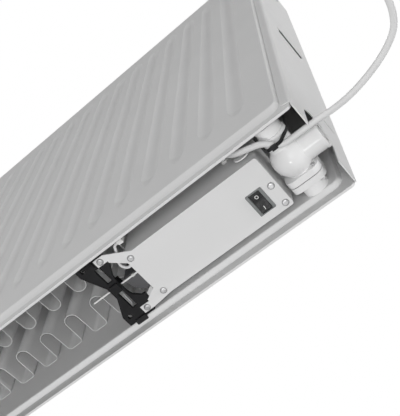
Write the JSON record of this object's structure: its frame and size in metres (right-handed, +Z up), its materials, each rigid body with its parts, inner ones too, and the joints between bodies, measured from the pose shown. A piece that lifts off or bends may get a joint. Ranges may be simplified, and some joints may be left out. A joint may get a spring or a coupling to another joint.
{
  "type": "panel radiator",
  "caption": "White double-panel steel radiator with folded convectors, fan rail, control box with rocker switch and mains lead.",
  "frame": {"origin": "centre of the radiator's footprint, at the height of the panels' bottom edges", "axes": "+X along the length, to the right seen from the front; +Y from the front face towards the wall; +Z up"},
  "size_m": [1.2074, 0.2233, 0.7],
  "materials": {
    "white_enamel": "satin white stoved enamel",
    "convector_enamel": "thin white enamel on folded sheet",
    "white_plastic": "moulded white plastic",
    "white_cord": "white flexible PVC sheath",
    "white_rod": "white coated sensor rod",
    "black_plastic": "black moulded plastic",
    "dark_plastic": "dark grey moulded plastic",
    "grey_plastic": "mid grey moulded plastic",
    "zinc_steel": "bright zinc plated steel",
    "plated_brass": "nickel plated brass",
    "seal_rubber": "black sealing rubber",
    "board_green": "green circuit board with parts"
  },
  "bodies": {
    "radiator": {"air_vent_body": "plated_brass", "blanking_plug": "plated_brass", "box_plate": "white_enamel", "box_screws": "zinc_steel", "box_shell": "white_enamel", "bracket_screws": "zinc_steel", "cable_gland": "white_plastic", "cable_tie": "black_plastic", "circuit_board": "board_green", "coil_tie": "black_plastic", "cord_coil": "white_cord", "cord_run": "white_cord", "cord_tail": "white_cord", "coupling_bolts": "zinc_steel", "coupling_gaskets": "seal_rubber", "fan_frame_1": "dark_plastic", "fan_frame_2": "dark_plastic", "fan_frame_3": "dark_plastic", "fan_lead": "white_cord", "fan_rail": "white_enamel", "fan_screws": "zinc_steel", "front_convector": "convector_enamel", "front_panel_inner_sheet": "white_enamel", "front_panel_outer_sheet": "white_enamel", "front_stud": "white_enamel", "hanging_lugs": "white_enamel", "left_side_cover": "white_enamel", "mains_inner_lead": "white_cord", "panel_sensor": "white_plastic", "plug_body": "white_plastic", "plug_pins": "plated_brass", "port_seals": "seal_rubber", "power_supply": "dark_plastic", "probe_collar": "white_plastic", "rear_convector": "convector_enamel", "rear_panel_inner_sheet": "white_enamel", "rear_panel_outer_sheet": "white_enamel", "rear_stubs": "white_enamel", "right_side_cover": "white_enamel", "sensor_lead": "white_cord", "sensor_probe": "white_rod", "support_bracket": "black_plastic", "switch_body": "grey_plastic", "switch_terminals": "plated_brass", "tee_bottom_left": "white_enamel", "tee_bottom_right": "white_enamel", "tee_top_left": "white_enamel", "tee_top_right": "white_enamel", "terminal_block": "grey_plastic", "top_grille": "white_enamel", "wiring_cover": "dark_plastic"},
    "rocker": {"switch_rocker": "black_plastic"},
    "rotor_1": {"fan_rotor_1": "dark_plastic"},
    "rotor_2": {"fan_rotor_2": "dark_plastic"},
    "rotor_3": {"fan_rotor_3": "dark_plastic"},
    "spindle": {"bleed_spindle": "plated_brass"}
  },
  "joints": [
    {"name": "rocker_tilt", "type": "hinge", "parent": "radiator", "child": "rocker", "pos_m": [0.412, 0.0082, 0.018], "axis": [1, 0, 0], "range_deg": [0, 18]},
    {"name": "fan_spin_1", "type": "hinge", "parent": "radiator", "child": "rotor_1", "pos_m": [-0.248, -0.005, 0.646], "axis": [0, 0, 1], "continuous": true},
    {"name": "fan_spin_2", "type": "hinge", "parent": "radiator", "child": "rotor_2", "pos_m": [0.002, -0.005, 0.646], "axis": [0, 0, 1], "continuous": true},
    {"name": "fan_spin_3", "type": "hinge", "parent": "radiator", "child": "rotor_3", "pos_m": [0.252, -0.005, 0.646], "axis": [0, 0, 1], "continuous": true},
    {"name": "bleed_turn", "type": "hinge", "parent": "radiator", "child": "spindle", "pos_m": [-0.4874, -0.005, 0.672], "axis": [-1, 0, 0], "range_deg": [0, 360]}
  ]
}
